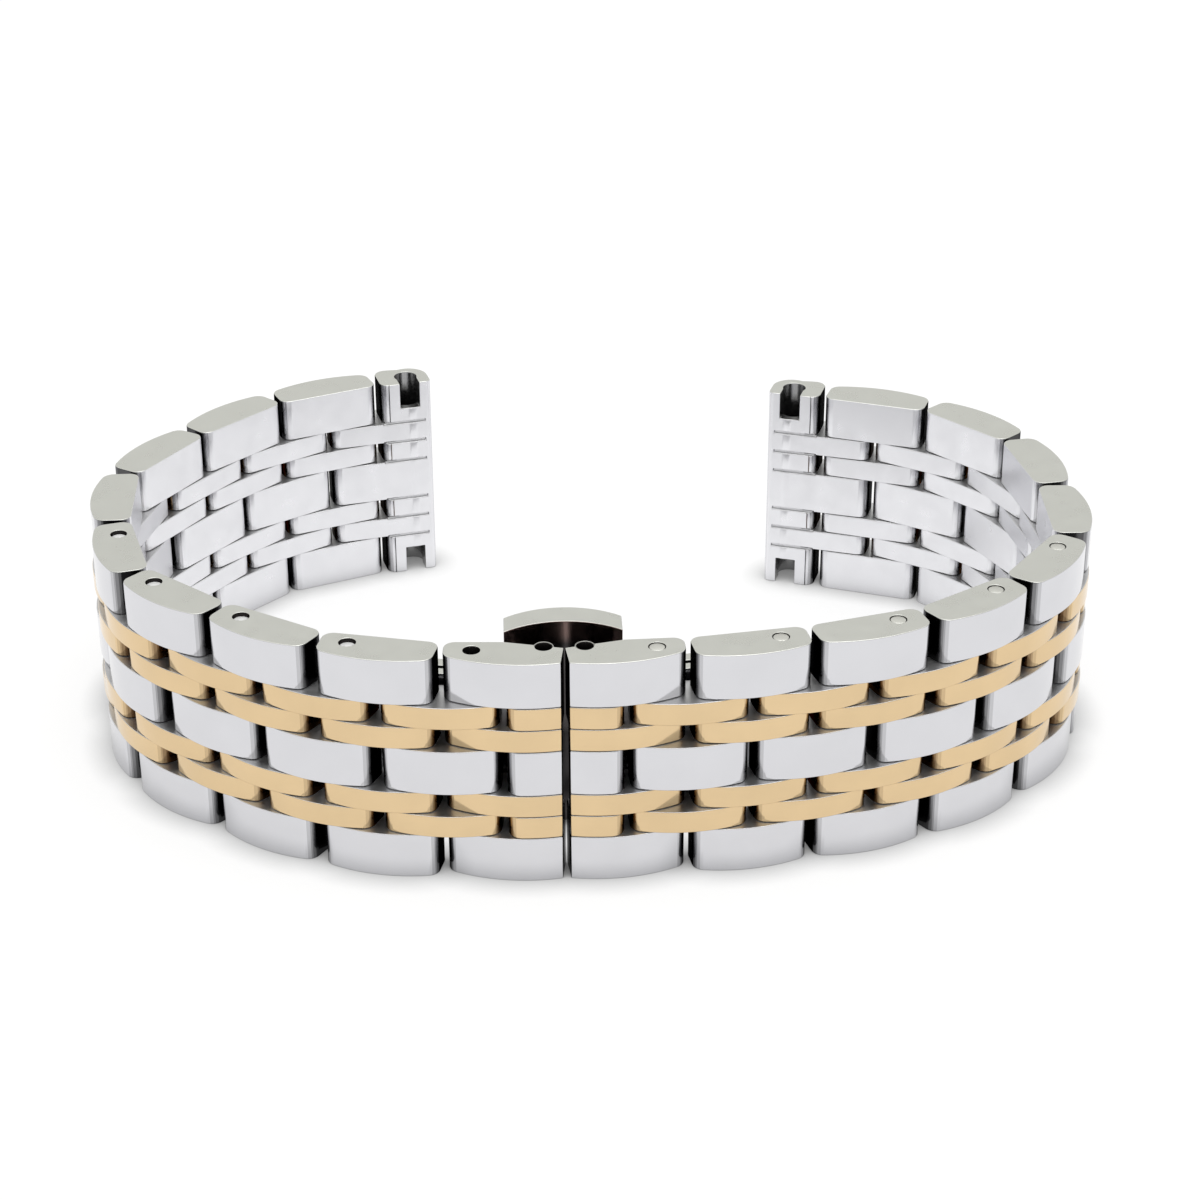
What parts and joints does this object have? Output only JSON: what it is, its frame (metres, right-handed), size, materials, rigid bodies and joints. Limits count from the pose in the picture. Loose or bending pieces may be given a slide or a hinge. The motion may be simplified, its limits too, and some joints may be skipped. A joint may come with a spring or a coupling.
{
  "type": "metal watch bracelet",
  "caption": "Two-tone metal watch bracelet of bead rows on pins, standing on its edge, with a hidden double-folding clasp and comb-shaped end pieces for spring bars.",
  "frame": {"origin": "middle of the footprint, on the edge that the bracelet stands on", "axes": "+X along the longer way across the ring, +Z across the width of the bracelet, -Y out of the closed clasp"},
  "size_m": [0.0784, 0.0539, 0.018],
  "materials": {
    "steel": "mirror polished stainless steel; the beads of rows 2, 3, 5 and 6 have gold faces",
    "gold": "polished pale gold plating",
    "clasp_steel": "polished stainless steel"
  },
  "bodies": {
    "clasp_base": {"clasp_base_plate": "clasp_steel", "left_blade_hinge_pin": "steel", "left_catch_jaw": "clasp_steel", "right_blade_hinge_pin": "steel", "right_catch_jaw": "clasp_steel"},
    "left_blade": {"left_clasp_blade": "clasp_steel", "left_catch_stud": "steel"},
    "left_end_link": {"left_end_link": "steel", "left_end_link_gold_beads": "gold", "left_clasp_pin": "steel"},
    "left_centre_link_1": {"left_centre_link_1": "steel"},
    "left_outer_link_2": {"left_outer_link_2": "steel"},
    "left_centre_link_2": {"left_centre_link_2": "steel"},
    "left_outer_link_3": {"left_outer_link_3": "steel"},
    "left_centre_link_3": {"left_centre_link_3": "steel"},
    "left_outer_link_4": {"left_outer_link_4": "steel"},
    "left_centre_link_4": {"left_centre_link_4": "steel"},
    "left_outer_link_5": {"left_outer_link_5": "steel"},
    "left_centre_link_5": {"left_centre_link_5": "steel"},
    "left_outer_link_6": {"left_outer_link_6": "steel"},
    "left_centre_link_6": {"left_centre_link_6": "steel"},
    "left_outer_link_7": {"left_outer_link_7": "steel"},
    "left_centre_link_7": {"left_centre_link_7": "steel"},
    "left_outer_link_8": {"left_outer_link_8": "steel"},
    "left_centre_link_8": {"left_centre_link_8": "steel"},
    "left_outer_link_9": {"left_outer_link_9": "steel"},
    "left_end_piece": {"left_end_piece": "steel"},
    "right_blade": {"right_clasp_blade": "clasp_steel", "right_catch_stud": "steel"},
    "right_end_link": {"right_end_link": "steel", "right_end_link_gold_beads": "gold", "right_clasp_pin": "steel"},
    "right_centre_link_1": {"right_centre_link_1": "steel"},
    "right_outer_link_2": {"right_outer_link_2": "steel"},
    "right_centre_link_2": {"right_centre_link_2": "steel"},
    "right_outer_link_3": {"right_outer_link_3": "steel"},
    "right_centre_link_3": {"right_centre_link_3": "steel"},
    "right_outer_link_4": {"right_outer_link_4": "steel"},
    "right_centre_link_4": {"right_centre_link_4": "steel"},
    "right_outer_link_5": {"right_outer_link_5": "steel"},
    "right_centre_link_5": {"right_centre_link_5": "steel"},
    "right_outer_link_6": {"right_outer_link_6": "steel"},
    "right_centre_link_6": {"right_centre_link_6": "steel"},
    "right_outer_link_7": {"right_outer_link_7": "steel"},
    "right_centre_link_7": {"right_centre_link_7": "steel"},
    "right_outer_link_8": {"right_outer_link_8": "steel"},
    "right_centre_link_8": {"right_centre_link_8": "steel"},
    "right_outer_link_9": {"right_outer_link_9": "steel"},
    "right_end_piece": {"right_end_piece": "steel"}
  },
  "joints": [
    {"name": "left_blade_opens", "type": "hinge", "parent": "clasp_base", "child": "left_blade", "pos_m": [-0.01563, -0.02045, 0.009], "axis": [0, 0, 1], "range_deg": [-160, 0]},
    {"name": "left_end_link_swings", "type": "hinge", "parent": "left_blade", "child": "left_end_link", "pos_m": [-0.00391, -0.02423, 0.009], "axis": [0, 0, 1], "range_deg": [0, 160]},
    {"name": "left_hinge_1", "type": "hinge", "parent": "left_end_link", "child": "left_centre_link_1", "pos_m": [-0.00902, -0.02456, 0.009], "axis": [0, 0, 1], "range_deg": [-5, 4]},
    {"name": "left_hinge_2", "type": "hinge", "parent": "left_centre_link_1", "child": "left_outer_link_2", "pos_m": [-0.0135, -0.02405, 0.009], "axis": [0, 0, 1], "range_deg": [-8, 7]},
    {"name": "left_hinge_3", "type": "hinge", "parent": "left_outer_link_2", "child": "left_centre_link_2", "pos_m": [-0.01787, -0.023, 0.009], "axis": [0, 0, 1], "range_deg": [-8, 10]},
    {"name": "left_hinge_4", "type": "hinge", "parent": "left_centre_link_2", "child": "left_outer_link_3", "pos_m": [-0.022, -0.02121, 0.009], "axis": [0, 0, 1], "range_deg": [-8, 10]},
    {"name": "left_hinge_5", "type": "hinge", "parent": "left_outer_link_3", "child": "left_centre_link_3", "pos_m": [-0.02575, -0.01872, 0.009], "axis": [0, 0, 1], "range_deg": [-14, 4]},
    {"name": "left_hinge_6", "type": "hinge", "parent": "left_centre_link_3", "child": "left_outer_link_4", "pos_m": [-0.02932, -0.01598, 0.009], "axis": [0, 0, 1], "range_deg": [-13, 5]},
    {"name": "left_hinge_7", "type": "hinge", "parent": "left_outer_link_4", "child": "left_centre_link_4", "pos_m": [-0.03264, -0.01294, 0.009], "axis": [0, 0, 1], "range_deg": [-2, 16]},
    {"name": "left_hinge_8", "type": "hinge", "parent": "left_centre_link_4", "child": "left_outer_link_5", "pos_m": [-0.03499, -0.00911, 0.009], "axis": [0, 0, 1], "range_deg": [-2, 16]},
    {"name": "left_hinge_9", "type": "hinge", "parent": "left_outer_link_5", "child": "left_centre_link_5", "pos_m": [-0.03619, -0.00477, 0.009], "axis": [0, 0, 1], "range_deg": [-11, 7]},
    {"name": "left_hinge_10", "type": "hinge", "parent": "left_centre_link_5", "child": "left_outer_link_6", "pos_m": [-0.03686, -0.00032, 0.009], "axis": [0, 0, 1], "range_deg": [-11, 7]},
    {"name": "left_hinge_11", "type": "hinge", "parent": "left_outer_link_6", "child": "left_centre_link_6", "pos_m": [-0.03697, 0.00418, 0.009], "axis": [0, 0, 1], "range_deg": [-1, 17]},
    {"name": "left_hinge_12", "type": "hinge", "parent": "left_centre_link_6", "child": "left_outer_link_7", "pos_m": [-0.03577, 0.00851, 0.009], "axis": [0, 0, 1], "range_deg": [-1, 17]},
    {"name": "left_hinge_13", "type": "hinge", "parent": "left_outer_link_7", "child": "left_centre_link_7", "pos_m": [-0.03335, 0.01231, 0.009], "axis": [0, 0, 1], "range_deg": [-14, 4]},
    {"name": "left_hinge_14", "type": "hinge", "parent": "left_centre_link_7", "child": "left_outer_link_8", "pos_m": [-0.03068, 0.01593, 0.009], "axis": [0, 0, 1], "range_deg": [-11, 7]},
    {"name": "left_hinge_15", "type": "hinge", "parent": "left_outer_link_8", "child": "left_centre_link_8", "pos_m": [-0.02758, 0.01919, 0.009], "axis": [0, 0, 1], "range_deg": [-6, 12]},
    {"name": "left_hinge_16", "type": "hinge", "parent": "left_centre_link_8", "child": "left_outer_link_9", "pos_m": [-0.02387, 0.02174, 0.009], "axis": [0, 0, 1], "range_deg": [-7, 11]},
    {"name": "left_hinge_17", "type": "hinge", "parent": "left_outer_link_9", "child": "left_end_piece", "pos_m": [-0.01974, 0.02353, 0.009], "axis": [0, 0, 1], "range_deg": [-9, 9]},
    {"name": "right_blade_opens", "type": "hinge", "parent": "clasp_base", "child": "right_blade", "pos_m": [0.01077, -0.02045, 0.009], "axis": [0, 0, 1], "range_deg": [0, 160]},
    {"name": "right_end_link_swings", "type": "hinge", "parent": "right_blade", "child": "right_end_link", "pos_m": [-0.00096, -0.02423, 0.009], "axis": [0, 0, 1], "range_deg": [-160, 0]},
    {"name": "right_hinge_1", "type": "hinge", "parent": "right_end_link", "child": "right_centre_link_1", "pos_m": [0.00416, -0.02456, 0.009], "axis": [0, 0, 1], "range_deg": [-2, 7]},
    {"name": "right_hinge_2", "type": "hinge", "parent": "right_centre_link_1", "child": "right_outer_link_2", "pos_m": [0.00865, -0.02421, 0.009], "axis": [0, 0, 1], "range_deg": [-5, 10]},
    {"name": "right_hinge_3", "type": "hinge", "parent": "right_outer_link_2", "child": "right_centre_link_2", "pos_m": [0.01309, -0.02347, 0.009], "axis": [0, 0, 1], "range_deg": [-3, 15]},
    {"name": "right_hinge_4", "type": "hinge", "parent": "right_centre_link_2", "child": "right_outer_link_3", "pos_m": [0.01748, -0.02249, 0.009], "axis": [0, 0, 1], "range_deg": [-4, 14]},
    {"name": "right_hinge_5", "type": "hinge", "parent": "right_outer_link_3", "child": "right_centre_link_3", "pos_m": [0.0218, -0.02121, 0.009], "axis": [0, 0, 1], "range_deg": [-8, 10]},
    {"name": "right_hinge_6", "type": "hinge", "parent": "right_centre_link_3", "child": "right_outer_link_4", "pos_m": [0.02589, -0.01935, 0.009], "axis": [0, 0, 1], "range_deg": [-10, 8]},
    {"name": "right_hinge_7", "type": "hinge", "parent": "right_outer_link_4", "child": "right_centre_link_4", "pos_m": [0.0296, -0.0168, 0.009], "axis": [0, 0, 1], "range_deg": [-10, 8]},
    {"name": "right_hinge_8", "type": "hinge", "parent": "right_centre_link_4", "child": "right_outer_link_5", "pos_m": [0.03281, -0.01364, 0.009], "axis": [0, 0, 1], "range_deg": [-10, 8]},
    {"name": "right_hinge_9", "type": "hinge", "parent": "right_outer_link_5", "child": "right_centre_link_5", "pos_m": [0.03542, -0.00998, 0.009], "axis": [0, 0, 1], "range_deg": [-17, 1]},
    {"name": "right_hinge_10", "type": "hinge", "parent": "right_centre_link_5", "child": "right_outer_link_6", "pos_m": [0.03685, -0.00571, 0.009], "axis": [0, 0, 1], "range_deg": [-17, 1]},
    {"name": "right_hinge_11", "type": "hinge", "parent": "right_outer_link_6", "child": "right_centre_link_6", "pos_m": [0.03697, -0.00122, 0.009], "axis": [0, 0, 1], "range_deg": [-6, 12]},
    {"name": "right_hinge_12", "type": "hinge", "parent": "right_centre_link_6", "child": "right_outer_link_7", "pos_m": [0.03662, 0.00327, 0.009], "axis": [0, 0, 1], "range_deg": [-5, 13]},
    {"name": "right_hinge_13", "type": "hinge", "parent": "right_outer_link_7", "child": "right_centre_link_7", "pos_m": [0.03587, 0.00771, 0.009], "axis": [0, 0, 1], "range_deg": [-15, 3]},
    {"name": "right_hinge_14", "type": "hinge", "parent": "right_centre_link_7", "child": "right_outer_link_8", "pos_m": [0.03401, 0.0118, 0.009], "axis": [0, 0, 1], "range_deg": [-17, 1]},
    {"name": "right_hinge_15", "type": "hinge", "parent": "right_outer_link_8", "child": "right_centre_link_8", "pos_m": [0.03102, 0.01517, 0.009], "axis": [0, 0, 1], "range_deg": [-15, 3]},
    {"name": "right_hinge_16", "type": "hinge", "parent": "right_centre_link_8", "child": "right_outer_link_9", "pos_m": [0.02727, 0.01766, 0.009], "axis": [0, 0, 1], "range_deg": [-13, 5]},
    {"name": "right_hinge_17", "type": "hinge", "parent": "right_outer_link_9", "child": "right_end_piece", "pos_m": [0.02306, 0.01923, 0.009], "axis": [0, 0, 1], "range_deg": [-2, 16]}
  ],
  "couplings": [
    {"joint": "left_end_link_swings", "follows": "left_blade_opens", "ratio": -1},
    {"joint": "right_end_link_swings", "follows": "right_blade_opens", "ratio": -1}
  ]
}
